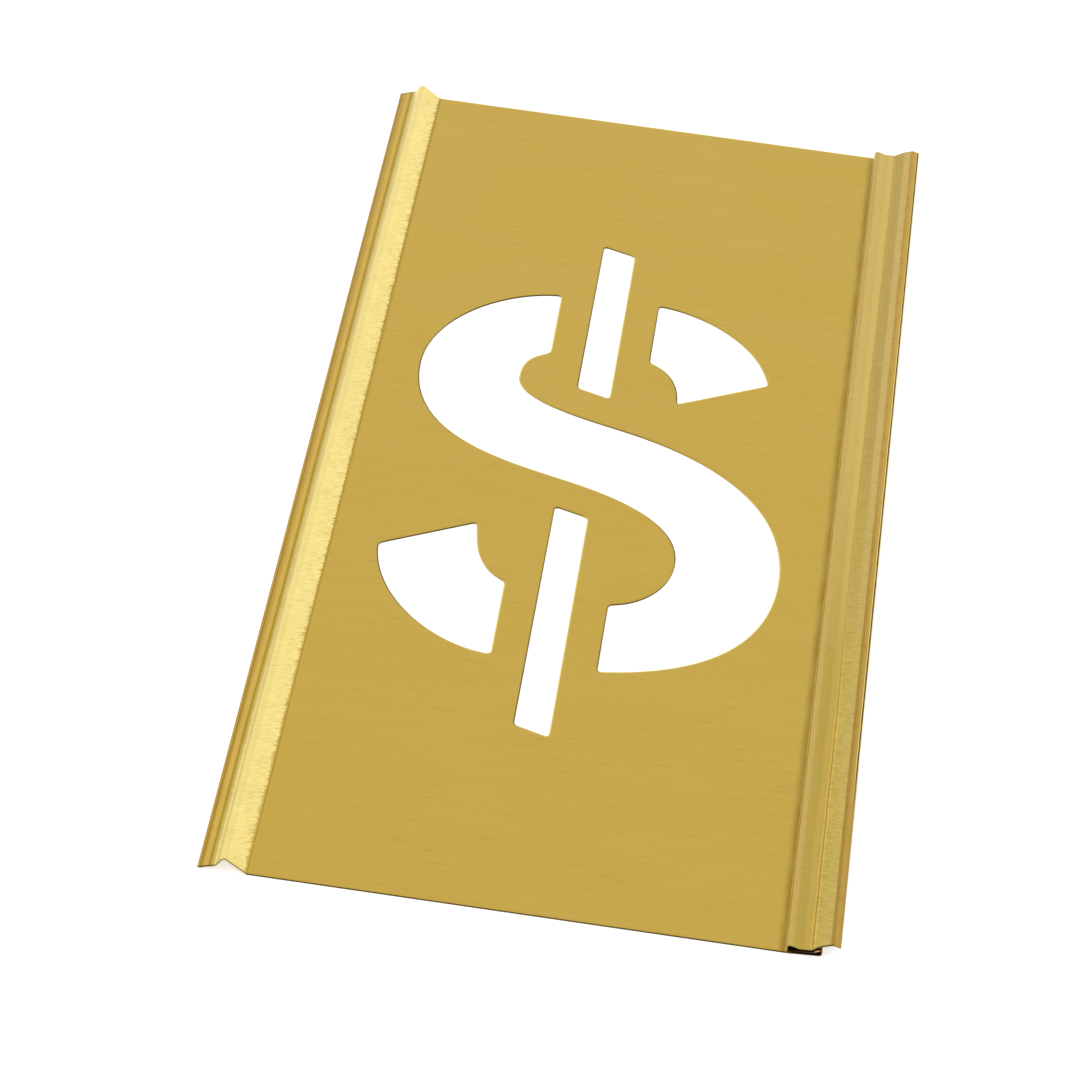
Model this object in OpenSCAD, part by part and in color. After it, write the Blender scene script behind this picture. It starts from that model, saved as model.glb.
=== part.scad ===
// Interlocking lettering stencil, one sheet of brass with a dollar sign cut through it.
// The left edge is folded up into a ridge with a tongue. The right edge is folded over
// itself into a hem with a channel above it, which takes the tongue of the next stencil.
// The sheet is drawn as its own centre line, bent at each fold and given its thickness.
// Each flat between two folds is a piece of its own, and neighbours meet face to face.

/* [Sheet] */
// Thickness of the brass
sheet_t = 0.3; // [0.2:0.05:0.4]
// Length of the stencil, along its rails
plate_l = 215.9; // [200:0.1:300]
// Width of the flat panel between the ridge's crease and the channel's wall
panel_w = 83.3; // [80:0.1:120]
// Inside radius of the sharp folds
fold_r = 0.2; // [0.1:0.05:0.25]

/* [Tongue rail] */
// Width of the ramp from the crease up to the ridge
ramp_w = 3.63; // [3:0.01:6]
// Height of the ridge above the panel, before its fold is rounded
ridge_h = 2.65; // [2:0.05:4]
// Inside radius of the ridge
ridge_r = 0.5; // [0.3:0.05:0.6]
// Width of the riser from the ridge down to the foot
riser_w = 1.17; // [0.9:0.01:2]
// Height of the foot, where the tongue starts
foot_h = 0.8; // [0.5:0.05:1.2]
// Inside radius of the foot
foot_r = 1.2; // [0.8:0.1:1.4]
// Width of the tongue's root, next to the foot
root_w = 1.4; // [1:0.05:2.5]
// Drop of the root from the foot
root_drop = 0.35; // [0.1:0.05:0.45]
// Width of the tongue's slanted middle
slant_w = 0.95; // [0.6:0.05:2]
// Width of the tongue's edge
edge_w = 0.45; // [0.3:0.05:1]
// Lift of the edge's inner side above its outer side
edge_lift = 0.05; // [0:0.01:0.1]

/* [Hem] */
// Reach of the hem past the channel's valley, to the end of the bead
hem_reach = 1.75; // [1.6:0.05:2.1]
// Width of the flat before the hem's floor starts to rise
level_w = 1; // [0.5:0.1:1.5]
// Rise of the hem's floor towards the bead
floor_rise = 0.3; // [0.1:0.05:0.6]
// Gap between the floor and the layer folded back over it
lay_gap = 0.03; // [0.01:0.01:0.1]
// Width of the bead, from its end to where the folded layer lies flat
bead_w = 1.55; // [1.2:0.05:2]

/* [Channel] */
// Clear height of the slot that a tongue slides in
slot_h = 0.35; // [0.25:0.05:0.6]
// Width of the bump at the channel's wall
bump_w = 0.9; // [0.7:0.05:1.5]
// Height of the bump above the valley of the roof
bump_h = 0.4; // [0.2:0.05:0.8]
// Width of the fall from the bump to the valley
fall_w = 1.2; // [1:0.05:2]
// Width of the valley
valley_w = 1.75; // [1.5:0.05:2.2]
// Width of the steep rise from the valley to the knee
knee_w = 1.65; // [1.4:0.05:2]
// Height of the knee above the valley
knee_h = 1.02; // [0.9:0.02:1.3]
// Width of the gentle rise from the knee to the crest
crest_w = 1.55; // [1:0.05:2.5]
// Height of the crest above the knee
crest_h = 0.6; // [0.3:0.05:1]
// Width of the lip beyond the crest
lip_w = 1.25; // [0.8:0.05:2]
// Drop of the lip's edge below the crest
lip_drop = 0.38; // [0.2:0.02:0.8]

/* [Sign] */
// Height of the sign without its bars
sign_h = 101.6; // [90:0.1:120]
// Width of the sign
sign_w = 67.2; // [62:0.1:74]
// Height of the sign's centre above the panel's centre
sign_y = 0.9; // [-5:0.1:5]
// Width of the bowls' strokes
stroke_w = 17.5; // [15:0.1:19]
// Upright thickness of the slanting spine
spine_h = 18.2; // [15:0.1:20]
// Height of the spine's middle above the sign's centre
spine_y = 5.1; // [3:0.1:7]
// Slope of the spine, in degrees below level
spine_angle = 15.5; // [13:0.5:18]
// Distance right of the sign's middle where the spine's upper edge bends into the upper bowl
bend_up = 4.1; // [2:0.1:6]
// Distance left of the sign's middle where the spine's lower edge bends into the lower bowl
bend_down = 6.5; // [4:0.1:8]
// Depth of the upper bowl's widest place below the sign's top
bowl_up = 26; // [24:0.1:28]
// Height of the lower bowl's widest place above the sign's foot
bowl_down = 30; // [28:0.1:32]
// Upright height of the upper stroke at its two ties
brow_h = 17.3; // [15:0.1:19]
// Drop of the upper stroke's outer edge below the sign's top at its left tie
brow_drop = 0.9; // [0.5:0.1:1.5]
// Upright height of the lower stroke at its right tie
chin_h = 17.2; // [15:0.1:19]
// Upright height of the lower stroke at its left tie
heel_h = 18.7; // [16:0.1:20]
// Rise of the lower stroke's outer edge above the sign's foot at its left tie
heel_lift = 0.7; // [0.3:0.1:1.3]
// Distance of the upper terminal's tip from the sign's right side
tip_up_in = 6.1; // [4:0.1:8]
// Depth of the upper terminal's tip below the sign's top
tip_up_drop = 19.1; // [17:0.1:21]
// Distance of the lower terminal's tip from the sign's left side
tip_down_in = 0.1; // [0:0.1:2]
// Height of the lower terminal's tip above the sign's foot
tip_down_rise = 24.8; // [23:0.1:27]
// Length of a terminal's slanted cut
tip_l = 17.8; // [16:0.1:19]
// Slope of a terminal's slanted cut, in degrees
tip_angle = 30; // [25:1:35]

/* [Bars and ties] */
// Distance of the bars' axis left of the sign's middle
bar_x = 2.65; // [0:0.05:4]
// Width of a bar
bar_w = 5.8; // [5:0.1:7]
// Reach of the upper bar above the upper stroke
bar_up = 15; // [10:0.1:20]
// Reach of the lower bar below the lower stroke
bar_down = 16.5; // [10:0.1:20]
// Slope of the bars' ends, in degrees
bar_angle = 17; // [0:1:25]
// Width of the ties between a bar and the strokes beside it
tie_w = 5.95; // [5:0.05:8]
// Width of the ties between the bars and the spine
spine_tie = 7.6; // [5:0.1:10]
// Radius of the corners of the cut-outs
corner_r = 0.8; // [0.4:0.1:1.2]

/* [Hidden] */

brass = [0.79, 0.67, 0.34];
brass_bright = [0.96, 0.88, 0.56];
brass_shade = [0.70, 0.58, 0.30];

// Steps of a fold's arc, an even number, so that a piece can end in its middle
steps = 8;
// Steps of a curve of the sign's outline, and of a rounded corner
curve_steps = 22;
corner_steps = 4;
// Reach of a cutting tool past the sheet's faces
past = 1;

// Radius of the centre line in the sharp folds, and in the soft ones
sharp = sheet_t / 2 + fold_r;
soft = 2 * sharp;

// Height at u of a straight line from (u0, z0) to (u1, z1)
function height_at(u, u0, z0, u1, z1) = z0 + (z1 - z0) * (u - u0) / (u1 - u0);

// The right rail's corners on the centre line: distances u from the channel's wall, and
// heights z above the centre line of the panel, from the hem upwards
back_u = sheet_t / 2;
valley_u = bump_w + fall_w;
crease_u = valley_u + valley_w;
knee_u = crease_u + knee_w;
crest_u = knee_u + crest_w;
lip_u = crest_u + lip_w;
bead_end = crease_u + hem_reach;
bead_u = bead_end - sheet_t / 2;
return_u = bead_end - bead_w;
return_z0 = sheet_t + lay_gap;
return_z1 = return_z0 + floor_rise * (return_u - back_u) / (bead_u - level_w);
function return_z(u) = height_at(u, back_u, return_z0, return_u, return_z1);
valley_z = return_z(valley_u) + sheet_t + slot_h;
crease_z = return_z(crease_u) + sheet_t + slot_h;
bump_z = valley_z + bump_h;
knee_z = crease_z + knee_h;
crest_z = knee_z + crest_h;
lip_z = crest_z - lip_drop;

// The bead's round top reaches up until the slot above it is as high as in the valley. The
// layer that folds back from it runs straight down to where it lies flat.
slope_angle = atan2(knee_h, knee_w);
round_u = bead_u - sharp;
round_z = height_at(round_u, crease_u, crease_z, knee_u, knee_z)
          - (sharp + sheet_t + slot_h) / cos(slope_angle);
run_down = [round_u - return_u, round_z - return_z1];
bead_angle = atan2(run_down[1], run_down[0]) + asin(sharp / norm(run_down));
bead_z = return_z1 + (bead_u - return_u) * tan(bead_angle);

ridge_x = -ramp_w;
foot_x = ridge_x - riser_w;
slant_x = foot_x - root_w;
edge_x = slant_x - slant_w;
tip_x = edge_x - edge_w;

// Corners of the sheet's centre line from the tongue's tip to the lip: x, z and radius
fold_line = [
  [tip_x, 0, 0],
  [edge_x, edge_lift, sharp],
  [slant_x, foot_h - root_drop, sharp],
  [foot_x, foot_h, sheet_t / 2 + foot_r],
  [ridge_x, ridge_h, sheet_t / 2 + ridge_r],
  [0, 0, sharp],
  [panel_w + level_w, 0, soft],
  [panel_w + bead_u, floor_rise, sharp],
  [panel_w + bead_u, bead_z, sharp],
  [panel_w + return_u, return_z1, sharp],
  [panel_w + back_u, return_z0, sharp],
  [panel_w + back_u, bump_z, sharp],
  [panel_w + bump_w, bump_z, soft],
  [panel_w + valley_u, valley_z, soft],
  [panel_w + crease_u, crease_z, sharp],
  [panel_w + knee_u, knee_z, soft],
  [panel_w + crest_u, crest_z, soft],
  [panel_w + lip_u, lip_z, 0]
];

// Places in fold_line where a piece starts or ends
TIP = 0;
FOOT = 3;
RIDGE = 4;
CREASE = 5;
FLOOR = 6;
BEAD = 7;
RETURN = 9;
BACK = 10;
BUMP = 11;
VALLEY_END = 14;
CREST = 16;
LIP = 17;

function flat(p) = [p[0], p[1]];
function unit(v) = v / norm(v);
function left_of(d) = [-d[1], d[0]];
function turned(v, a) = [v[0] * cos(a) - v[1] * sin(a), v[0] * sin(a) + v[1] * cos(a)];
function dir(a) = [cos(a), sin(a)];

// A fold at b: points of the centre line along its arc, each with the normal to its left
function fold(a, b, c, r) =
  let (
    d1 = unit(b - a),
    d2 = unit(c - b),
    turn_angle = atan2(d1[0] * d2[1] - d1[1] * d2[0], d1 * d2),
    side = turn_angle < 0 ? -1 : 1,
    n1 = left_of(d1),
    centre = b - d1 * r * tan(abs(turn_angle) / 2) + n1 * side * r
  )
  [for (k = [0:steps]) let (n = turned(n1, turn_angle * k / steps)) [centre - n * side * r, n]];

last = len(fold_line) - 1;
frames = concat(
  [[flat(fold_line[0]), left_of(unit(flat(fold_line[1]) - flat(fold_line[0])))]],
  [for (i = [1:last - 1])
    each fold(flat(fold_line[i - 1]), flat(fold_line[i]), flat(fold_line[i + 1]), fold_line[i][2])],
  [[flat(fold_line[last]), left_of(unit(flat(fold_line[last]) - flat(fold_line[last - 1])))]]
);

// Frame in the middle of the fold at corner i, or at either end of the sheet
function frame_at(i) =
  i == 0 ? 0 : i == last ? len(frames) - 1 : 1 + (i - 1) * (steps + 1) + steps / 2;

// Section of the sheet between two corners
function section(i, j) =
  let (f = [for (k = [frame_at(i):frame_at(j)]) frames[k]], n = len(f) - 1)
  concat(
    [for (k = [0:n]) f[k][0] + f[k][1] * sheet_t / 2],
    [for (k = [n:-1:0]) f[k][0] - f[k][1] * sheet_t / 2]
  );

// The origin is midway along the sheet's whole width, on the surface that it rests on
whole = section(TIP, LIP);
mid_x = (min([for (p = whole) p[0]]) + max([for (p = whole) p[0]])) / 2;
low_z = min([for (p = whole) p[1]]);

module strip(i, j) {
  translate([-mid_x, 0, -low_z])
    rotate([90, 0, 0])
      linear_extrude(height = plate_l, center = true)
        polygon(section(i, j));
}

// A curve from p to q. It leaves p at angle ap and q at angle aq. The pull at each end is
// a share of the distance between them.
function curve(p, ap, kp, q, aq, kq) =
  let (
    reach = norm(q - p),
    p1 = p + dir(ap) * kp * reach,
    q1 = q + dir(aq) * kq * reach
  )
  [for (k = [0:curve_steps])
    let (s = k / curve_steps, r = 1 - s)
    r * r * r * p + 3 * r * r * s * p1 + 3 * r * s * s * q1 + s * s * s * q];

// Cuts a stretch back by r from each of its ends
function trimmed(path, r) =
  let (
    n = len(path) - 1,
    kept = [for (p = path) if (norm(p - path[0]) > r && norm(p - path[n]) > r) p],
    from = path[0] + unit(path[1] - path[0]) * r,
    to = path[n] + unit(path[n - 1] - path[n]) * r
  )
  concat([from], kept, [to]);

// Rounds the corner at c between the end of one stretch and the start of the next
function corner(a, c, b) =
  [for (k = [1:corner_steps - 1])
    let (s = k / corner_steps, r = 1 - s)
    r * r * a + 2 * s * r * c + s * s * b];

// Joins stretches into a closed outline, with each corner between them rounded
function outline(stretches, r) =
  let (cut = [for (s = stretches) trimmed(s, r)], n = len(cut))
  [for (i = [0:n - 1])
    let (next = cut[(i + 1) % n])
    each concat(cut[i], corner(cut[i][len(cut[i]) - 1], stretches[i][len(stretches[i]) - 1], next[0]))];

half_w = sign_w / 2;
half_h = sign_h / 2;
tie_left = -bar_x - bar_w / 2 - tie_w;
tie_right = -bar_x + bar_w / 2 + tie_w;
spine_slope = -tan(spine_angle);

// Heights of the spine's two edges at x
function spine_top(x) = spine_y + spine_h / 2 + spine_slope * x;
function spine_bottom(x) = spine_y - spine_h / 2 + spine_slope * x;

// Places on the sign's outline where a curve is upright, or passes into another
outer_left = [-half_w, half_h - bowl_up];
inner_left = outer_left + [stroke_w, 0];
outer_right = [half_w, bowl_down - half_h];
inner_right = outer_right - [stroke_w, 0];
edge_top = [bend_up, spine_top(bend_up)];
edge_bottom = [-bend_down, spine_bottom(-bend_down)];
brow = [tie_left, half_h - brow_drop];
brow_in = brow - [0, brow_h];
chin = [tie_right, -half_h];
chin_in = chin + [0, chin_h];

// The long stroke of the sign, from its upper bowl along the spine to its lower bowl
letter = outline([
  concat(
    curve(brow, 184, 0.29, outer_left, 90, 0.43),
    curve(outer_left, 270, 0.53, edge_bottom, 180 - spine_angle, 0.27),
    curve(edge_bottom, -spine_angle, 0.25, inner_right, 90, 0.43),
    curve(inner_right, 270, 0.32, chin_in, 11, 0.42)
  ),
  [chin_in, chin],
  concat(
    curve(chin, 9, 0.36, outer_right, 270, 0.5),
    curve(outer_right, 90, 0.35, edge_top, -spine_angle, 0.47),
    curve(edge_top, 180 - spine_angle, 0.3, inner_left, 270, 0.3),
    curve(inner_left, 90, 0.6, brow_in, 215, 0.28)
  ),
  [brow_in, brow]
], corner_r);

// The short end of the upper stroke, right of the bars
upper_tip = [half_w - tip_up_in, half_h - tip_up_drop];
upper_barb = upper_tip - dir(tip_angle) * tip_l;
crown = [tie_right, half_h];
crown_in = crown - [0, brow_h];
upper_end = outline([
  curve(crown, -4, 0.285, upper_tip, 101, 0.43),
  [upper_tip, upper_barb],
  curve(upper_barb, 89, 0.42, crown_in, -19, 0.32),
  [crown_in, crown]
], corner_r);

// The short end of the lower stroke, left of the bars
lower_tip = [tip_down_in - half_w, tip_down_rise - half_h];
lower_barb = lower_tip + dir(tip_angle) * tip_l;
heel = [tie_left, heel_lift - half_h];
heel_in = heel + [0, heel_h];
lower_end = outline([
  curve(heel, 180, 0.31, lower_tip, -88, 0.4),
  [lower_tip, lower_barb],
  curve(lower_barb, -83, 0.36, heel_in, 153, 0.39),
  [heel_in, heel]
], corner_r);

// A bar between two heights on its axis, with both ends slanted
function bar(low, high) =
  let (
    x0 = -bar_x - bar_w / 2,
    x1 = -bar_x + bar_w / 2,
    slant = tan(bar_angle) * bar_w / 2
  )
  outline([
    [[x0, low + slant], [x1, low - slant]],
    [[x1, low - slant], [x1, high - slant]],
    [[x1, high - slant], [x0, high + slant]],
    [[x0, high + slant], [x0, low + slant]]
  ], corner_r);

upper_bar = bar(spine_top(-bar_x) + spine_tie, half_h + bar_up);
lower_bar = bar(-half_h - bar_down, spine_bottom(-bar_x) - spine_tie);

module cutter(shape) {
  translate([panel_w / 2 - mid_x, sign_y, -past])
    linear_extrude(height = sheet_t + 2 * past)
      polygon(shape);
}

module stencil_plate() {
  color(brass)
    difference() {
      strip(CREASE, FLOOR);
      cutter(letter);
      cutter(upper_end);
      cutter(lower_end);
      cutter(upper_bar);
      cutter(lower_bar);
    }
}

module tongue_ramp() {
  color(brass_bright) strip(RIDGE, CREASE);
}

module tongue_riser() {
  color(brass_bright) strip(FOOT, RIDGE);
}

module tongue() {
  color(brass_shade) strip(TIP, FOOT);
}

module hem_floor() {
  color(brass) strip(FLOOR, BEAD);
}

module hem_bead() {
  color(brass_shade) strip(BEAD, RETURN);
}

module hem_return() {
  color(brass) strip(RETURN, BACK);
}

module channel_back() {
  color(brass_bright) strip(BACK, BUMP);
}

module channel_roof() {
  color(brass) strip(BUMP, VALLEY_END);
}

module roof_slope() {
  color(brass) strip(VALLEY_END, CREST);
}

module roof_lip() {
  color(brass_shade) strip(CREST, LIP);
}

stencil_plate();
tongue_ramp();
tongue_riser();
tongue();
hem_floor();
hem_bead();
hem_return();
channel_back();
channel_roof();
roof_slope();
roof_lip();
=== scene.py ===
"""An interlocking brass lettering stencil, lying on white paper under soft studio light."""

import math

import bmesh
import bpy
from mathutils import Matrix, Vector


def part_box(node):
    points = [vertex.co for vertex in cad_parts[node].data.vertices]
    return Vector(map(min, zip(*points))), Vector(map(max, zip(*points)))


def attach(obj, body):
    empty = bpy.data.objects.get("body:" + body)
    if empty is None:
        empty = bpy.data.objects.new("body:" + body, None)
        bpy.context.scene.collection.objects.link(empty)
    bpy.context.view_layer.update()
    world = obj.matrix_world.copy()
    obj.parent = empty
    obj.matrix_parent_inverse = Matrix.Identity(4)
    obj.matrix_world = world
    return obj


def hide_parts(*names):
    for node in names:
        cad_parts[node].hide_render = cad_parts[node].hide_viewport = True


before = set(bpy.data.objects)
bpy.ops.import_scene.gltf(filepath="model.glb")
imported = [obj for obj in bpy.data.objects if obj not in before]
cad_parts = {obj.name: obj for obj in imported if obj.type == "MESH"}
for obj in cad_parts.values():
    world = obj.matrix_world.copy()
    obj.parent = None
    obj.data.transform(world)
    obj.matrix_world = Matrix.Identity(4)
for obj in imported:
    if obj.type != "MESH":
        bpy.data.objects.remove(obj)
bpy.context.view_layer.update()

# Lengths and places are in millimetres unless a comment says metres. x runs across the stencil, y
# runs along it, away from the camera, and z is up. Further along means at a greater y
MM = 0.001

# Camera: its place, its turns about X, Y and Z in degrees, and its lens and sensor, found from the
# four corners of the panel, and the nearest and furthest that it sees, in metres
CAMERA_PLACE = (23.31, -596.4, 477.66)
CAMERA_TURN = (50.313, -4.718, 6.944)
CAMERA_LENS = 148.55
CAMERA_SENSOR = 36
CAMERA_CLIP = (0.01, 20)

# Floor: its size in metres, how far it lies under the sheet, its paper, and how strongly it glows
# for the camera and in the brass
FLOOR_SIZE = 6
FLOOR_DROP = 0.05
PAPER = (0.86, 0.86, 0.86, 1)
PAPER_ROUGHNESS = 0.9
GLOW_TO_CAMERA = 0.54
GLOW_IN_MIRRORS = 0.17
WHITE = (1, 1, 1, 1)

# Room: the range of upward directions over which its strength falls, and the strengths there
ROOM_RISE = (0.6, 1.0)
ROOM_STRENGTH = (1.0, 0.86)

# Soft box: its place, and its width and height, in metres, and its watts
LAMP_PLACE = (0.52, 0.71, 0.25)
LAMP_SIZE = (0.5, 0.3)
LAMP_WATTS = 0.05

# Sheet: how far its cut corners are eased and in how many steps, and the width of the ring of
# faces round the cut-outs
EASE = 0.13
EASE_STEPS = 2
RIM = 0.4

# Angles between faces, in degrees: below the first two, flats are made whole and shading is
# smooth, and above the third the sheet was cut. A normal's z above FACING_UP is the upper face
FLAT_ANGLE = 0.3
SMOOTH_ANGLE = 35
CUT_ANGLE = 60
FACING_UP = 0.9

# Vertices this close count as one place, and as one vertex where they are closer still
SAME_PLACE = 0.002
SAME_VERTEX = 0.1 * SAME_PLACE

# How far the brush marks on a slope run along the sheet for each millimetre that they climb
LEAN = 1.25

# The way, along x and y, that a cut edge of the panel faces where its painted highlight is
# strongest
PALE_WAY = (-0.83, 0.56)

# The teeth along the fold, from one to the next
TOOTH_PITCH = 0.66

# Nearly all of a noise lies between these two values
NOISE_RANGE = (0.3, 0.7)

# Which inputs and output of a Mix node carry colours, and which inputs carry numbers
MIX_COLOURS = (6, 7)
MIX_COLOUR_OUT = 2
MIX_NUMBERS = (2, 3)


def side(node, right):
    """x of a node's left or right side, in millimetres."""
    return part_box(node)[int(right)][0] / MM


# The sheet's folds from left to right, each by its x: the tongue's tip and foot, the crease beside
# the panel, the channel's wall, and the roof's valley, crest and lip. Then the height of the hem's
# top, and the y of the sheet's far end
TIP = side("tongue", False)
FOOT = side("tongue", True)
CREASE = side("stencil_plate", False)
WALL = side("channel_back", False)
VALLEY_END = side("channel_roof", True)
CREST = side("roof_slope", True)
LIP = side("roof_lip", True)
HEM_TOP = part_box("hem_return")[1][2] / MM
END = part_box("tongue")[1][1] / MM

# Stretches of y over which a finish changes from its look near the camera to its look further along
CREASE_BROWNS = (-20, 50)
TONGUE_DULLS = (0, 50)
ROOF_CLEANS = (-52, 18)
BUMP_DULLS = (20, 60)
VALLEY_LINES_FADE = (-62, -25)
# Over this stretch the lines along the lip's edge fade out towards the camera
LIP_EDGE_LINES_FADE = (-84, -62)
BURR_FADES = (40, 70)

# How far a finish leaves its straight course: two y and how far off it is at each, and for a bow
# two more y and the share of that which is left at each. The crease's goes to the right, and the
# other two to the left
CREASE_BOW = ((-60, -25, -0.04, 0.2), (30, 90, 1.0, 0.4))
VALLEY_BOW = ((-60, -20, 0.0, 0.3), (30, 70, 1.0, 0.5))
TONGUE_SHIFT = (-85, -40, 0.25, 0.0)

# Steps in a finish across the sheet, by x, from where each sets in to where it is complete
# Where the painted highlight over the ridge sets in
RIDGE_START = (FOOT - 0.42, FOOT + 0.28)
RAMP_MARKS = (CREASE - 3.2, CREASE - 1.2)
TEETH_END = (CREASE - 0.1, CREASE + 0.15)
BAND_END = (CREASE + 0.15, CREASE + 0.42)
# Where the painted shade on the panel beside the wall sets in, and where it is full
SHADE_BY_WALL_START = (WALL - 1.55, WALL - 0.25)
# The painted highlight on the panel at the wall's foot
WALL_GLEAM = (WALL - 0.14, WALL)
WALL_END = (WALL + 0.3, WALL + 0.6)
BUMP_END = (WALL + 0.7, WALL + 1.2)
SLOPE_START = (VALLEY_END - 0.1, VALLEY_END + 0.25)
OVER_BEAD = (VALLEY_END, VALLEY_END + 1.0)
LIP_START = (CREST - 0.5, CREST - 0.2)
DARK_ENDS = (CREST, CREST + 0.3)
# Where the painted shade along the lip's edge sets in, and the painted highlight at its very edge
LIP_EDGE_SHADE_START = (LIP - 0.42, LIP - 0.34)
LIP_HIGHLIGHT_START = (LIP - 0.2, LIP - 0.12)

# The same by y, at the far end of the rails, and by the height
RAIL_FAR_EDGE = (END - 0.34, END - 0.2)
ROOF_FAR_EDGE = (END - 0.3, END - 0.16)
WALL_RISE = (0.45, 1.2)
UPPER_LAYER = (HEM_TOP - 0.26, HEM_TOP - 0.12)

# The x of the tongue's edge line and of the start of the crease's band, each near the camera and
# further along, and the x of the crease's line of painted shade
TONGUE_EDGE_X = (TIP + 0.54, TIP + 0.42)
CREASE_BAND_X = (CREASE - 0.14, CREASE - 0.2)
CREASE_LINE_X = CREASE + 0.17

# Other lines along the sheet: the x of each one's middle, half its width, and how softly it ends
# A painted highlight along the tongue, and a line of painted shade before its foot
TONGUE_HIGHLIGHT_BAND = (FOOT - 1.25, 0.2, 0.4)
FOOT_SHADE_LINE = (FOOT - 0.72, 0.05, 0.24)
RIDGE_LINE = (FOOT - 0.22, 0.08, 0.25)
# A painted highlight along the bump
GREYISH_HIGHLIGHT_LINE = (WALL + 0.85, 0.05, 0.25)
VALLEY_BAND = ((WALL + VALLEY_END) / 2, 1.4, 0.4)
SOFT_GOLD_BAND = (VALLEY_END - 0.75, 0.15, 0.75)
GOLD_LINE = (VALLEY_END - 0.12, 0.1, 0.14)
DARK_ORANGE_LINE = (VALLEY_END + 0.14, 0.03, 0.1)
PALE_LINE = (VALLEY_END + 0.36, 0.05, 0.14)
SLOPE_BAND = ((VALLEY_END + CREST) / 2 - 0.1, 1.2, 0.5)
# A painted highlight below the crest
PINKISH_HIGHLIGHT_BAND = (CREST - 0.9, 0.4, 0.4)
CREST_LINE = (CREST - 0.12, 0.08, 0.26)
LIP_GOLD_LINE = (LIP - 0.78, 0.1, 0.2)
# A painted highlight along the lip's burr
BURR_LINE = (LIP - 0.5, 0.01, 0.07)
# Where the painted highlight on the hem's upper layer lies
BRIGHT_END = (VALLEY_END + 0.9, 0.15, 0.4)


def rgb(red, green, blue):
    """A colour given as it looks on screen, from 0 to 255, as linear light by the sRGB curve."""
    def linear(value):
        v = value / 255
        return v / 12.92 if v <= 0.04045 else ((v + 0.055) / 1.055) ** 2.4
    return (linear(red), linear(green), linear(blue), 1)


# Brass tones as they look in plain light: rolled sheet, then what folding, handling and shearing
# made of it, and painted highlights and painted shade that stand in for light on folds and edges
ROLLED = rgb(202, 170, 76)
ROLLED_COOL = rgb(202, 171, 80)
FLECK = rgb(186, 148, 58)
# Painted shade beside the channel's wall, then a dark orange that tints it and also draws lines on
# the tongue and in the valley
SHADE_BY_WALL = rgb(172, 146, 65)
DARK_ORANGE = rgb(166, 126, 40)
# Painted highlights over the ridge: on the ramp and, paler, on the steep riser, then the dark and
# light marks across the ramp in that light
RAMP_HIGHLIGHT = rgb(243, 221, 136)
RISER_HIGHLIGHT = rgb(255, 241, 146)
RAMP_MARK_DARK = rgb(214, 188, 100)
RAMP_MARK_LIGHT = rgb(253, 238, 170)
FOOT_FADE = rgb(204, 183, 98)
FOLD_GOLD = rgb(205, 171, 68)
FOLD_OLIVE = rgb(197, 164, 60)
# Dark: the teeth along the fold, and the line of painted shade in the crease
FOLD_MARKS_AND_SHADE = rgb(154, 119, 34)
# Olive: painted shade before the tongue's foot, and a band after the crest
OLIVE = rgb(174, 143, 46)
TONGUE = rgb(190, 155, 68)
# A painted highlight along the tongue
TONGUE_HIGHLIGHT = rgb(211, 175, 78)
TONGUE_EDGE = rgb(166, 132, 58)
DULL = rgb(190, 159, 69)
DULL_OLIVE = rgb(187, 161, 76)
CLEAN = rgb(207, 179, 98)
BUMP = rgb(202, 172, 92)
BUMP_DULL = rgb(197, 167, 90)
WALL_TONE = rgb(207, 180, 95)
# A painted highlight at the foot of the channel's wall, on the wall and on the panel beside it
WALL_FOOT_HIGHLIGHT = rgb(250, 234, 140)
GOLD = rgb(213, 177, 80)
GOLD_SOFT = rgb(217, 188, 103)
SLOPE = rgb(200, 174, 84)
SLOPE_DULL = rgb(186, 160, 81)
STROKE_LIGHT = rgb(222, 198, 112)
STROKE_DARK = rgb(160, 138, 58)
# A painted highlight, pinkish grey, along the bump and below the crest
CREST_HIGHLIGHT = rgb(205, 176, 105)
LIP_TONE = rgb(184, 153, 72)
LIP_CLEAN = rgb(198, 165, 79)
COPPERY = rgb(187, 134, 62)
PIT = rgb(150, 124, 52)
LIP_GOLD = rgb(204, 160, 74)
# A painted highlight along the lip's burr, and painted shade beside the lip's edge
BURR_HIGHLIGHT = rgb(250, 226, 146)
LIP_EDGE_SHADE = rgb(88, 70, 38)
# Sheared ends and edges; on the panel's cut edges that face away this dark also stands for painted
# shade
SHEARED = rgb(98, 80, 38)
SHEARED_LIGHT = rgb(172, 146, 82)
SHEARED_OLIVE = rgb(182, 166, 88)
# A painted highlight on sheared edges: the panel's cut edges that face PALE_WAY, and the lip's very
# edge
SHEARED_HIGHLIGHT = rgb(255, 244, 176)
# Brown painted shade in the hem and on faces that look down, darker painted shade on the hem's cut
# ends, and a painted highlight on a stretch of the upper layer's end
HOLLOW_SHADE = rgb(128, 84, 42)
HOLLOW_DARK_SHADE = rgb(46, 24, 12)
HEM_END_HIGHLIGHT = rgb(234, 178, 124)


# The sheet's pieces

def place_of(vertex):
    """A vertex's place, rounded so that the same corner of two nodes compares equal."""
    return tuple(round(c / (SAME_PLACE * MM)) for c in vertex.co)


def joined_places():
    """Places where one stretch of the sheet meets the next, in the middle of a fold."""
    seen = {}
    for name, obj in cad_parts.items():
        for place in {place_of(v) for v in obj.data.vertices}:
            seen.setdefault(place, set()).add(name)
    return {place for place, names in seen.items() if len(names) > 1}


JOINED = joined_places()


def only(obj):
    """Selects one object and makes it active."""
    bpy.ops.object.select_all(action="DESELECT")
    obj.select_set(True)
    bpy.context.view_layer.objects.active = obj


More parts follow.
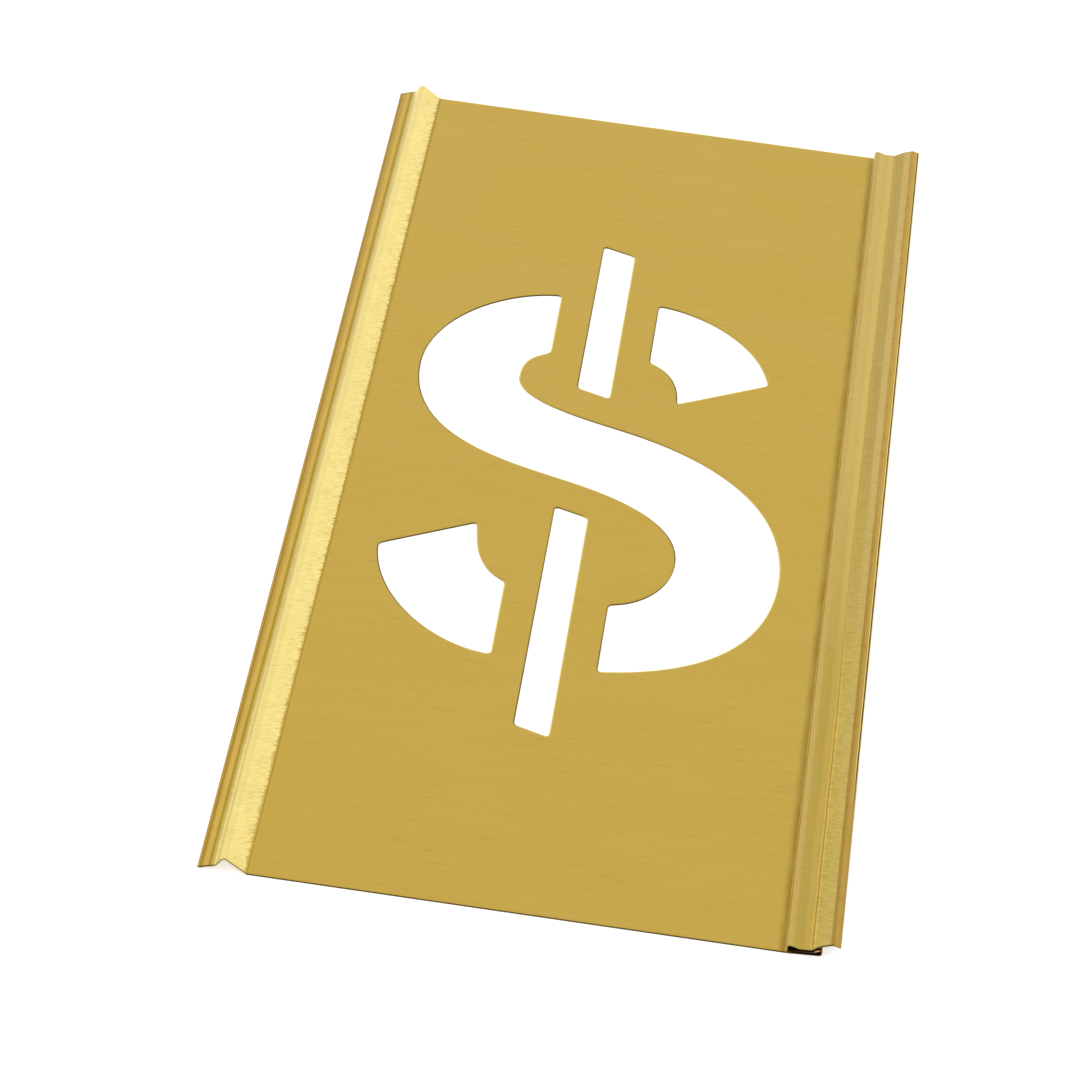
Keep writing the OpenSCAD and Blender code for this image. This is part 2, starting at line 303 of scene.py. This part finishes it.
def ring_the_cut_outs(data):
    """Insets the panel's upper face, so that a ring of faces runs round each cut-out."""
    mesh = bmesh.from_edit_mesh(data)
    for face in mesh.faces:
        face.select_set(face.normal.z > FACING_UP)
    bmesh.update_edit_mesh(data)
    bpy.ops.mesh.inset(thickness=RIM * MM)
    bpy.ops.mesh.select_all(action="DESELECT")


def select_cut_edges(data):
    """Selects the corners that cutting left on the sheet, and none where two nodes meet."""
    mesh = bmesh.from_edit_mesh(data)
    for edge in mesh.edges:
        if len(edge.link_faces) != 2 or edge.calc_face_angle(0) < math.radians(CUT_ANGLE):
            continue
        if not all(place_of(v) in JOINED for v in edge.verts):
            edge.select = True
    bmesh.update_edit_mesh(data)


def sheet_piece(name, node, material):
    """The sheet of one node, its flats made whole and its cut corners eased."""
    piece = bpy.data.objects.new(name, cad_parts[node].data.copy())
    bpy.context.scene.collection.objects.link(piece)
    only(piece)
    bpy.ops.object.mode_set(mode="EDIT")
    bpy.ops.mesh.select_all(action="SELECT")
    bpy.ops.mesh.remove_doubles(threshold=SAME_VERTEX * MM)
    bpy.ops.mesh.dissolve_limited(angle_limit=math.radians(FLAT_ANGLE))
    bpy.ops.mesh.select_all(action="DESELECT")
    if node == "stencil_plate":
        ring_the_cut_outs(piece.data)
    select_cut_edges(piece.data)
    bpy.ops.mesh.bevel(offset=EASE * MM, segments=EASE_STEPS, affect="EDGES", clamp_overlap=True)
    bpy.ops.object.mode_set(mode="OBJECT")
    bpy.ops.object.shade_smooth_by_angle(angle=math.radians(SMOOTH_ANGLE))
    if node != "stencil_plate":
        bpy.ops.object.modifier_add(type="WEIGHTED_NORMAL")
        piece.modifiers[-1].keep_sharp = True
        bpy.ops.object.modifier_apply(modifier=piece.modifiers[-1].name)
    piece.data.materials.clear()
    piece.data.materials.append(material)
    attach(piece, "root")
    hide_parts(node)


# Materials

class Brass:
    """A brass finish: its node tree, and the marks that a sheet of brass carries. A share is a
    number from 0 to 1, or a socket that carries one."""

    def __init__(self, name):
        self.material = bpy.data.materials.new(name)
        self.material.use_nodes = True
        self.tree = self.material.node_tree
        self.tree.nodes.clear()
        coordinates = self.add("ShaderNodeTexCoord")
        scaled = self.add("ShaderNodeVectorMath", operation="SCALE")
        self.put(coordinates.outputs["Object"], scaled.inputs[0])
        scaled.inputs["Scale"].default_value = 1 / MM
        # A place on the piece, in millimetres
        self.where = scaled.outputs[0]
        place = self.add("ShaderNodeSeparateXYZ")
        self.put(self.where, place.inputs[0])
        self.x, self.y, self.z = place.outputs
        # The same, leaning so that a brush mark runs along the sheet as it climbs
        leaning = self.add("ShaderNodeCombineXYZ")
        self.brushed_y = self.math("ADD", self.y, self.times(self.z, LEAN))
        for socket, value in zip(leaning.inputs, (self.x, self.brushed_y, self.z)):
            self.put(value, socket)
        self.brushed = leaning.outputs[0]
        # Which way the surface faces, and the relief so far
        normal = self.add("ShaderNodeSeparateXYZ")
        self.put(coordinates.outputs["Normal"], normal.inputs[0])
        self.nx, self.ny, self.nz = normal.outputs
        self.normal = None

    def add(self, kind, **settings):
        """A new node of a kind, with its settings."""
        made = self.tree.nodes.new(kind)
        for key, value in settings.items():
            setattr(made, key, value)
        return made

    def put(self, value, socket):
        """Gives a socket its value: another node's output, or a number or colour."""
        if isinstance(value, bpy.types.NodeSocket):
            self.tree.links.new(value, socket)
        else:
            socket.default_value = value

    def math(self, operation, a, b=0.0):
        """The result of a sum on two numbers, or on one."""
        made = self.add("ShaderNodeMath", operation=operation)
        self.put(a, made.inputs[0])
        self.put(b, made.inputs[1])
        return made.outputs[0]

    def times(self, a, b):
        """a times b."""
        return self.math("MULTIPLY", a, b)

    def rest(self, share):
        """What is left of 1 beside a share."""
        return self.math("SUBTRACT", 1.0, share)

    def fade(self, value, low, high, start=0.0, end=1.0):
        """start below low, end above high, and smooth between them."""
        made = self.add("ShaderNodeMapRange", interpolation_type="SMOOTHSTEP")
        for socket, given in zip(made.inputs, (value, low, high, start, end)):
            self.put(given, socket)
        return made.outputs[0]

    def until(self, value, low, high):
        """1 below low, 0 above high, and smooth between them."""
        return self.fade(value, low, high, 1.0, 0.0)

    def between(self, share, start, end):
        """start where the share is 0, end where it is 1, and smooth between them."""
        return self.fade(share, 0.0, 1.0, start, end)

    def spread(self, noise, start, end):
        """start where a noise is low, end where it is high, and smooth between them."""
        return self.fade(noise, *NOISE_RANGE, start, end)

    def line(self, value, middle, half, soft):
        """1 within half of the middle, and fading to 0 over soft beyond it."""
        apart = self.math("ABSOLUTE", self.math("SUBTRACT", value, middle))
        return self.until(self.math("SUBTRACT", apart, half), 0.0, soft)

    def bow(self, rise, fall):
        """How far a line is off its straight course, as the two stretches along y say."""
        return self.times(self.fade(self.y, *rise), self.fade(self.y, *fall))

    def mix(self, share, a, b, blend="MIX"):
        """Colour a with a share of colour b."""
        made = self.add("ShaderNodeMix", data_type="RGBA", blend_type=blend)
        self.put(share, made.inputs[0])
        for socket, colour in zip(MIX_COLOURS, (a, b)):
            self.put(colour, made.inputs[socket])
        return made.outputs[MIX_COLOUR_OUT]

    def paint(self, colour, tone, mask, share):
        """The colour with a share of a tone over it where the mask is 1."""
        return self.mix(self.times(mask, share), colour, tone)

    def shade(self, colour, noise, darkest, lightest):
        """The colour made darker where a noise is low and lighter where it is high, by factors."""
        factor = self.spread(noise, darkest, lightest)
        grey = self.add("ShaderNodeCombineColor")
        for socket in grey.inputs:
            self.put(factor, socket)
        return self.mix(1.0, colour, grey.outputs[0], "MULTIPLY")

    def noise(self, per_mm, detail, roughness, seed, where=None):
        """Noise with so many features in a millimetre along x, y and z, from 0 to 1."""
        mapped = self.add("ShaderNodeMapping")
        self.put(where or self.where, mapped.inputs["Vector"])
        mapped.inputs["Scale"].default_value = per_mm
        mapped.inputs["Location"].default_value = (seed, 2.3 * seed, 0)
        made = self.add("ShaderNodeTexNoise")
        self.put(mapped.outputs[0], made.inputs["Vector"])
        made.inputs["Scale"].default_value = 1
        made.inputs["Detail"].default_value = detail
        made.inputs["Roughness"].default_value = roughness
        return made.outputs["Fac"]

    def strokes(self, length, width, low, high, seed):
        """Short brush marks across the rail: 0 between them, 1 in the darkest."""
        per_mm = (1 / length, 1 / width, 1 / length)
        marks = self.noise(per_mm, detail=2.0, roughness=0.5, seed=seed, where=self.brushed)
        return self.fade(marks, low, high)

    def waver(self, value, reach, per_mm, seed, where=None):
        """A place that wavers by up to reach to either side along the sheet's length."""
        wave = self.noise((0.02, per_mm, 0.02), detail=3.0, roughness=0.6, seed=seed, where=where)
        return self.math("ADD", value, self.fade(wave, 0.25, 0.75, -reach, reach))

    def bump(self, height, millimetres):
        """Adds a relief: the height, from 0 to 1, times so many millimetres."""
        made = self.add("ShaderNodeBump")
        made.inputs["Strength"].default_value = 1
        made.inputs["Distance"].default_value = millimetres * MM
        self.put(height, made.inputs["Height"])
        if self.normal is not None:
            self.put(self.normal, made.inputs["Normal"])
        self.normal = made.outputs[0]

    def ends(self):
        """1 on the sheared ends of a folded strip."""
        return self.fade(self.math("ABSOLUTE", self.ny), 0.12, 0.35)

    def metal(self, colour, roughness):
        """The finished material: bare metal of a colour and roughness, with the reliefs added."""
        shader = self.add("ShaderNodeBsdfPrincipled")
        shader.inputs["Metallic"].default_value = 1
        self.put(colour, shader.inputs["Base Color"])
        self.put(roughness, shader.inputs["Roughness"])
        self.put(self.normal, shader.inputs["Normal"])
        out = self.add("ShaderNodeOutputMaterial")
        self.put(shader.outputs[0], out.inputs["Surface"])
        return self.material


def rolled(n):
    """The finish that rolling left on the flat: soft mottling, fine streaks and flecks along x."""
    mottle = n.fade(n.noise((0.035, 0.07, 0.07), detail=3.0, roughness=0.6, seed=4), 0.35, 0.65)
    streak = n.noise((0.06, 1.3, 1.3), detail=5.0, roughness=0.7, seed=11)
    grain = n.noise((0.9, 3.4, 3.4), detail=3.0, roughness=0.6, seed=23)
    fleck = n.fade(n.noise((0.22, 1.9, 1.9), detail=3.0, roughness=0.55, seed=37), 0.62, 0.74)
    colour = n.mix(mottle, ROLLED, ROLLED_COOL)
    colour = n.paint(colour, FLECK, fleck, share=0.4)
    colour = n.shade(colour, streak, darkest=0.965, lightest=1.035)
    colour = n.shade(colour, grain, darkest=0.985, lightest=1.015)
    n.bump(streak, millimetres=0.003)
    n.bump(grain, millimetres=0.0012)
    return colour, streak


def teeth(n, x, inside):
    """Short dark teeth across the start of the crease's band, unevenly long and unevenly apart.
    inside is how far a place lies within the band."""
    shifts = n.noise((0.02, 0.6, 0.02), detail=2.0, roughness=0.5, seed=76, where=n.brushed)
    drift = n.fade(shifts, 0.2, 0.8, 0.0, 14.0)
    turns = n.times(n.brushed_y, math.tau / TOOTH_PITCH)
    wave = n.math("SINE", n.math("ADD", turns, drift))
    lengths = n.noise((0.3, 1.3, 0.3), detail=2.0, roughness=0.5, seed=79, where=n.brushed)
    length = n.fade(lengths, 0.35, 0.65, 0.05, 0.55)
    tooth = n.times(n.fade(n.math("ADD", inside, length), -0.05, 0.25), n.until(x, *TEETH_END))
    return n.times(tooth, n.fade(wave, -0.3, 0.6))


def crease(n, colour):
    """The fold beside the panel: a gold band with short dark teeth, then a thin line of painted
    shade in the crease. Further along both are wider, the band is more olive and the line fainter.
    The fold's two sides share this."""
    further = n.fade(n.y, *CREASE_BROWNS)
    bowed = n.math("SUBTRACT", n.x, n.bow(*CREASE_BOW))
    x = n.waver(bowed, reach=0.05, per_mm=0.02, seed=74)
    ragged = n.waver(x, reach=0.1, per_mm=1.8, seed=75, where=n.brushed)
    ragged = n.waver(ragged, reach=0.07, per_mm=0.3, seed=77)
    inside = n.math("SUBTRACT", ragged, n.between(further, *CREASE_BAND_X))
    band = n.times(n.fade(inside, -0.12, 0.08), n.until(x, *BAND_END))
    colour = n.paint(colour, n.mix(further, FOLD_GOLD, FOLD_OLIVE), band, share=0.9)
    colour = n.paint(colour, FOLD_MARKS_AND_SHADE, teeth(n, x, inside), share=n.between(further, 0.5, 0.58))
    # A thin line of painted shade in the crease
    half = n.between(further, 0.02, 0.06)
    line = n.line(n.waver(x, reach=0.03, per_mm=1.5, seed=78), CREASE_LINE_X, half, soft=0.12)
    return n.paint(colour, FOLD_MARKS_AND_SHADE, line, share=n.between(further, 0.5, 0.3))


def cut_edges(n, colour):
    """The edges of the panel's cut-outs and outline: dark sheared metal with painted shade where
    they face away from PALE_WAY, and a painted highlight where they face it. An edge shows where
    its normal leans, and on its far side the slightest lean will do."""
    upright = n.math("ABSOLUTE", n.nz)
    rolled_over = n.times(n.until(upright, 0.99, 0.9998), n.fade(n.ny, -0.05, 0.02))
    cut = n.math("MAXIMUM", n.until(upright, 0.93, 0.98), rolled_over)
    level_part = n.math("SQRT", n.math("ADD", n.times(n.nx, n.nx), n.times(n.ny, n.ny)))
    pale_part = n.math("ADD", n.times(n.nx, PALE_WAY[0]), n.times(n.ny, PALE_WAY[1]))
    paleness = n.math("DIVIDE", pale_part, n.math("MAXIMUM", level_part, 0.01))
    # Painted shade on the edges that face away, and a painted highlight on those that face PALE_WAY
    colour = n.paint(colour, SHEARED, cut, share=n.until(paleness, -0.6, 0.1))
    return n.paint(colour, SHEARED_HIGHLIGHT, cut, share=n.fade(paleness, 0.1, 0.65))


def panel_brass():
    """The flat panel: the crease on its left, painted shade beside the channel's wall, and a
    painted highlight at the wall's foot.
    """
    n = Brass("panel_brass")
    colour, streak = rolled(n)
    colour = crease(n, colour)
    # Painted shade on the panel beside the channel's wall, darkest at the wall and redder in
    # patches
    near_wall = n.fade(n.waver(n.x, reach=0.1, per_mm=0.1, seed=53), *SHADE_BY_WALL_START)
    redder_patches = n.fade(n.noise((0.5, 0.12, 0.5), detail=2.0, roughness=0.5, seed=55), 0.4, 0.6)
    colour = n.mix(near_wall, colour, n.mix(redder_patches, SHADE_BY_WALL, n.mix(0.6, SHADE_BY_WALL, DARK_ORANGE)))
    # A painted highlight on the panel's last strip against the wall
    colour = n.paint(colour, WALL_FOOT_HIGHLIGHT, n.fade(n.x, *WALL_GLEAM), share=0.85)
    colour = cut_edges(n, colour)
    return n.metal(colour, roughness=n.spread(streak, 0.30, 0.38))


def tongue_tones(n, x):
    """The tongue: a gold painted highlight, a brown line near its edge, and an olive line of
    painted shade before its foot.
    """
    further = n.fade(n.y, *TONGUE_DULLS)
    # A gold painted highlight along the tongue
    colour = n.mix(n.line(x, *TONGUE_HIGHLIGHT_BAND), TONGUE, TONGUE_HIGHLIGHT)
    edge = n.waver(n.x, reach=0.04, per_mm=0.3, seed=61)
    edge_line = n.line(edge, n.between(further, *TONGUE_EDGE_X), half=0.04, soft=0.18)
    colour = n.mix(edge_line, colour, n.mix(further, DARK_ORANGE, TONGUE_EDGE))
    # An olive line of painted shade before the tongue's foot
    foot_shade = n.line(n.waver(x, reach=0.03, per_mm=0.3, seed=63), *FOOT_SHADE_LINE)
    return n.mix(foot_shade, colour, OLIVE)


def left_rail_brass(name):
    """Tongue, riser and ramp: lines along the tongue, a painted highlight over the ridge, paler on
    the riser, and short marks across the ramp that thicken towards the crease."""
    n = Brass(name)
    x = n.math("ADD", n.x, n.fade(n.y, *TONGUE_SHIFT))
    colour = tongue_tones(n, x)
    on_ridge = n.fade(n.waver(x, reach=0.06, per_mm=0.25, seed=65), *RIDGE_START)
    # A painted highlight over the ridge, paler on the riser's steep face
    ridge_highlight = n.mix(n.until(n.nx, -0.84, -0.62), RAMP_HIGHLIGHT, RISER_HIGHLIGHT)
    colour = n.mix(on_ridge, colour, ridge_highlight)
    colour = n.paint(colour, FOOT_FADE, n.line(x, *RIDGE_LINE), share=0.75)
    marked = n.fade(n.x, *RAMP_MARKS, 0.3, 1.0)
    dark = n.strokes(length=1.4, width=0.24, low=0.48, high=0.72, seed=71)
    dark = n.times(n.times(dark, marked), on_ridge)
    light = n.strokes(length=2.2, width=0.26, low=0.50, high=0.74, seed=73)
    light = n.times(light, on_ridge)
    colour = n.paint(colour, RAMP_MARK_DARK, dark, share=0.75)
    colour = n.paint(colour, RAMP_MARK_LIGHT, light, share=0.6)
    blotch = n.noise((0.2, 0.17, 0.2), detail=2.0, roughness=0.5, seed=67)
    colour = n.shade(colour, blotch, darkest=0.97, lightest=1.02)
    brushed = n.noise((0.35, 2.6, 0.35), detail=3.0, roughness=0.6, seed=69, where=n.brushed)
    colour = n.shade(colour, brushed, darkest=0.97, lightest=1.03)
    colour = crease(n, colour)
    far_edge = n.times(n.fade(n.y, *RAIL_FAR_EDGE), 0.8)
    colour = n.paint(colour, SHEARED, far_edge, share=n.rest(on_ridge))
    colour = n.mix(n.ends(), colour, n.mix(on_ridge, SHEARED, SHEARED_LIGHT))
    relief = n.noise((0.4, 3.0, 0.4), detail=3.0, roughness=0.6, seed=81, where=n.brushed)
    n.bump(relief, millimetres=0.0015)
    return n.metal(colour, roughness=n.between(dark, 0.28, 0.36))


def valley_tones(n, x, further, bump_tone):
    """The roof's bump, with a painted highlight along it, and the valley behind it, which turns a
    soft gold towards its end.
    """
    patchy = n.fade(n.noise((0.5, 0.16, 0.5), detail=3.0, roughness=0.6, seed=84), 0.4, 0.6)
    colour = n.mix(further, n.mix(patchy, DULL, DULL_OLIVE), CLEAN)
    soft_gold = n.line(n.waver(n.x, reach=0.2, per_mm=0.05, seed=86), *SOFT_GOLD_BAND)
    colour = n.paint(colour, GOLD_SOFT, soft_gold, share=n.between(further, 0.3, 0.75))
    colour = n.mix(n.until(x, *BUMP_END), colour, bump_tone)
    # A painted highlight along the bump
    return n.paint(colour, CREST_HIGHLIGHT, n.line(x, *GREYISH_HIGHLIGHT_LINE), share=0.4)


def slope_tones(n, colour, x, further):
    """The roof's slope, with three lines where it leaves the valley and a pinkish painted highlight
    above them.
    """
    bowed = n.math("ADD", x, n.bow(*VALLEY_BOW))
    slope = n.mix(further, SLOPE, SLOPE_DULL)
    colour = n.mix(n.fade(bowed, *SLOPE_START), colour, slope)
    share = n.fade(n.y, *VALLEY_LINES_FADE, 1.0, 0.2)
    for place, tone in ((GOLD_LINE, GOLD), (DARK_ORANGE_LINE, DARK_ORANGE), (PALE_LINE, GOLD_SOFT)):
        colour = n.paint(colour, tone, n.line(bowed, *place), share)
    # A painted highlight below the crest
    pinkish = n.line(x, *PINKISH_HIGHLIGHT_BAND)
    return n.paint(colour, CREST_HIGHLIGHT, pinkish, share=n.between(further, 0.5, 1.0))


def roof_strokes(n, colour, further):
    """Brush marks across the slope, stronger near the camera, and faint ones in the valley. The
    dark ones are given back too."""
    on_slope = n.times(n.line(n.x, *SLOPE_BAND), n.between(n.rest(further), 0.5, 1.0))
    in_valley = n.times(n.line(n.x, *VALLEY_BAND), 0.3)
    marked = n.math("ADD", on_slope, in_valley)
    dark = n.strokes(length=1.3, width=0.26, low=0.47, high=0.68, seed=89)
    dark = n.times(dark, marked)
    light = n.strokes(length=1.3, width=0.26, low=0.50, high=0.70, seed=91)
    light = n.times(light, marked)
    colour = n.paint(colour, STROKE_DARK, dark, share=0.4)
    colour = n.paint(colour, STROKE_LIGHT, light, share=0.4)
    return colour, dark


def lip_tones(n, further):
    """The lip, with its coppery patches and dark pits. Their relief is given back too."""
    colour = n.mix(further, LIP_TONE, LIP_CLEAN)
    patch = n.fade(n.noise((0.9, 0.55, 0.9), detail=4.0, roughness=0.65, seed=93), 0.48, 0.62)
    pit = n.fade(n.noise((2.2, 2.0, 2.2), detail=3.0, roughness=0.6, seed=95), 0.56, 0.70)
    colour = n.paint(colour, COPPERY, patch, share=n.between(further, 0.6, 0.4))
    colour = n.paint(colour, PIT, pit, share=n.between(further, 0.7, 0.5))
    return colour, n.math("ADD", pit, patch)


def lip_edge(n, colour):
    """The free edge: a gold line, a painted highlight on the burr, painted shade, then a painted
    highlight at the very edge. The last three fade towards the near end.
    """
    edge = n.waver(n.x, reach=0.04, per_mm=0.25, seed=97)
    kept = n.fade(n.waver(n.y, reach=6, per_mm=0.05, seed=98), *LIP_EDGE_LINES_FADE)
    colour = n.paint(colour, LIP_GOLD, n.line(edge, *LIP_GOLD_LINE), share=0.5)
    # A painted highlight along the burr
    burr = n.times(n.line(edge, *BURR_LINE), n.fade(n.y, *BURR_FADES, 1.0, 0.4))
    colour = n.paint(colour, BURR_HIGHLIGHT, burr, share=n.between(kept, 0.1, 1.0))
    # Painted shade along the lip's edge
    edge_shade = n.fade(edge, *LIP_EDGE_SHADE_START)
    colour = n.paint(colour, LIP_EDGE_SHADE, edge_shade, share=n.between(kept, 0.02, 1.0))
    # A painted highlight at the very edge
    return n.paint(colour, SHEARED_HIGHLIGHT, n.fade(n.x, *LIP_HIGHLIGHT_START), share=kept)


def roof_brass(name):
    """The channel's wall and roof: dull near the camera and cleaner further along, gold before the
    valley's end, brushed across the slope, and a rough lip, with painted highlights along the bump,
    below the crest and at the wall's foot, and painted shade on the faces that look down."""
    n = Brass(name)
    further = n.fade(n.waver(n.y, reach=8, per_mm=0.02, seed=85), *ROOF_CLEANS)
    x = n.waver(n.x, reach=0.05, per_mm=0.12, seed=87)
    bump_tone = n.mix(n.fade(n.y, *BUMP_DULLS), BUMP, BUMP_DULL)
    colour = valley_tones(n, x, further, bump_tone)
    colour = slope_tones(n, colour, x, further)
    colour, dark = roof_strokes(n, colour, further)
    on_lip = n.fade(x, *LIP_START)
    lip, lip_relief = lip_tones(n, further)
    colour = n.mix(on_lip, colour, lip)
    after_crest = n.times(n.line(x, *CREST_LINE), n.between(further, 0.6, 0.25))
    colour = n.mix(after_crest, colour, n.mix(0.5, OLIVE, PIT))
    colour = lip_edge(n, colour)
    grain = n.noise((0.7, 2.6, 0.7), detail=3.0, roughness=0.6, seed=99, where=n.brushed)
    colour = n.shade(colour, grain, darkest=0.965, lightest=1.035)
    # The wall's face towards the panel: a painted highlight low down, fading up into its own tone
    faces_panel = n.times(n.until(n.nx, -0.12, -0.02), n.until(n.x, *WALL_END))
    wall_tone = n.mix(0.6, WALL_TONE, bump_tone)
    colour = n.mix(faces_panel, colour, n.mix(n.fade(n.z, *WALL_RISE), WALL_FOOT_HIGHLIGHT, wall_tone))
    # Brown painted shade on the faces that look down
    colour = n.mix(n.until(n.nz, -0.5, -0.1), colour, HOLLOW_SHADE)
    end_tone = n.mix(n.fade(n.x, *OVER_BEAD), SHEARED_OLIVE, SHEARED)
    colour = n.paint(colour, end_tone, n.ends(), share=n.fade(n.x, *DARK_ENDS, 1.0, 0.2))
    colour = n.paint(colour, PIT, n.fade(n.y, *ROOF_FAR_EDGE), share=0.85)
    n.bump(grain, millimetres=0.002)
    n.bump(n.times(lip_relief, on_lip), millimetres=0.006)
    return n.metal(colour, roughness=n.between(n.math("ADD", on_lip, dark), 0.32, 0.42))


def hem_brass():
    """The folded hem: brown painted shade on its faces that look up, under the roof, and a quarter
    of that on the rest. Its cut ends carry dark painted shade, apart from a painted highlight on a
    stretch of the upper layer."""
    n = Brass("hem_brass")
    colour, streak = rolled(n)
    # Brown painted shade on the hem's faces that look up under the roof, and a quarter of it
    # elsewhere
    hollow = n.fade(n.nz, 0.2, 0.6)
    colour = n.mix(hollow, n.mix(0.25, colour, HOLLOW_SHADE), HOLLOW_SHADE)
    # Dark painted shade on the cut ends, and a painted highlight on a stretch of the upper layer's
    # end near the bead
    near_bead = n.line(n.x, *BRIGHT_END)
    bright = n.times(n.fade(n.z, *UPPER_LAYER), n.between(near_bead, 0.06, 0.95))
    colour = n.mix(n.ends(), colour, n.mix(bright, HOLLOW_DARK_SHADE, HEM_END_HIGHLIGHT))
    return n.metal(colour, roughness=n.spread(streak, 0.36, 0.46))


panel = panel_brass()
tongue_brass = left_rail_brass("tongue_brass")
ramp_brass = left_rail_brass("ramp_brass")
roof = roof_brass("roof_brass")
hem = hem_brass()

sheet_piece("panel", "stencil_plate", panel)
sheet_piece("ramp", "tongue_ramp", ramp_brass)
sheet_piece("riser", "tongue_riser", ramp_brass)
sheet_piece("tongue_strip", "tongue", tongue_brass)
sheet_piece("hem_under", "hem_floor", hem)
sheet_piece("bead", "hem_bead", hem)
sheet_piece("hem_over", "hem_return", hem)
sheet_piece("channel_wall", "channel_back", roof)
sheet_piece("roof", "channel_roof", roof)
sheet_piece("roof_rise", "roof_slope", roof)
sheet_piece("lip", "roof_lip", roof)


# Floor, light and camera

def seen_white(tree, to_camera, in_mirrors):
    """The strength of an emission for the camera, and for what mirrors the surface."""
    path = tree.nodes.new("ShaderNodeLightPath")
    total = tree.nodes.new("ShaderNodeMath")
    parts = (("Is Camera Ray", to_camera), ("Is Glossy Ray", in_mirrors))
    for (name, strength), socket in zip(parts, total.inputs):
        share = tree.nodes.new("ShaderNodeMath")
        share.operation = "MULTIPLY"
        tree.links.new(path.outputs[name], share.inputs[0])
        share.inputs[1].default_value = strength
        tree.links.new(share.outputs[0], socket)
    return total.outputs[0]


def floor():
    """White paper under the stencil. It shows as plain white and keeps a soft shadow."""
    bpy.ops.object.select_all(action="DESELECT")
    bpy.ops.mesh.primitive_plane_add(size=FLOOR_SIZE, location=(0, 0, -FLOOR_DROP * MM))
    plane = bpy.context.object
    plane.name = "floor"
    material = bpy.data.materials.new("white_paper")
    material.use_nodes = True
    shader = material.node_tree.nodes["Principled BSDF"]
    shader.inputs["Base Color"].default_value = PAPER
    shader.inputs["Roughness"].default_value = PAPER_ROUGHNESS
    shader.inputs["Specular IOR Level"].default_value = 0
    shader.inputs["Emission Color"].default_value = WHITE
    strength = seen_white(material.node_tree, GLOW_TO_CAMERA, GLOW_IN_MIRRORS)
    material.node_tree.links.new(strength, shader.inputs["Emission Strength"])
    plane.data.materials.append(material)


def soft_box():
    """A soft box, low behind the stencil on its right, which faces its middle."""
    lamp = bpy.data.lights.new("low_soft_box", "AREA")
    lamp.shape = "RECTANGLE"
    lamp.size, lamp.size_y = LAMP_SIZE
    lamp.energy = LAMP_WATTS
    made = bpy.data.objects.new("low_soft_box", lamp)
    bpy.context.scene.collection.objects.link(made)
    made.location = LAMP_PLACE
    made.rotation_euler = (-Vector(LAMP_PLACE)).to_track_quat("-Z", "Y").to_euler()


def room():
    """A pale room: white low down, greyer overhead. The camera itself sees plain white."""
    world = bpy.data.worlds.new("pale_room")
    bpy.context.scene.world = world
    world.use_nodes = True
    tree = world.node_tree
    tree.nodes.clear()
    coordinates = tree.nodes.new("ShaderNodeTexCoord")
    split = tree.nodes.new("ShaderNodeSeparateXYZ")
    tree.links.new(coordinates.outputs["Generated"], split.inputs[0])
    level = tree.nodes.new("ShaderNodeMapRange")
    level.interpolation_type = "SMOOTHSTEP"
    for socket, value in zip(level.inputs[1:], (*ROOM_RISE, *ROOM_STRENGTH)):
        socket.default_value = value
    tree.links.new(split.outputs["Z"], level.inputs["Value"])
    seen = tree.nodes.new("ShaderNodeLightPath")
    strength = tree.nodes.new("ShaderNodeMix")
    otherwise, to_camera = (strength.inputs[number] for number in MIX_NUMBERS)
    tree.links.new(seen.outputs["Is Camera Ray"], strength.inputs[0])
    tree.links.new(level.outputs[0], otherwise)
    to_camera.default_value = 1
    background = tree.nodes.new("ShaderNodeBackground")
    background.inputs["Color"].default_value = WHITE
    tree.links.new(strength.outputs[0], background.inputs["Strength"])
    out = tree.nodes.new("ShaderNodeOutputWorld")
    tree.links.new(background.outputs[0], out.inputs["Surface"])


def camera():
    """The camera that took the photo, as far as the panel's corners tell."""
    data = bpy.data.cameras.new("camera")
    data.sensor_width = CAMERA_SENSOR
    data.lens = CAMERA_LENS
    data.clip_start, data.clip_end = CAMERA_CLIP
    made = bpy.data.objects.new("camera", data)
    bpy.context.scene.collection.objects.link(made)
    made.location = [c * MM for c in CAMERA_PLACE]
    made.rotation_euler = [math.radians(a) for a in CAMERA_TURN]
    bpy.context.scene.camera = made


floor()
room()
soft_box()
camera()

bpy.context.scene.view_settings.view_transform = "Standard"
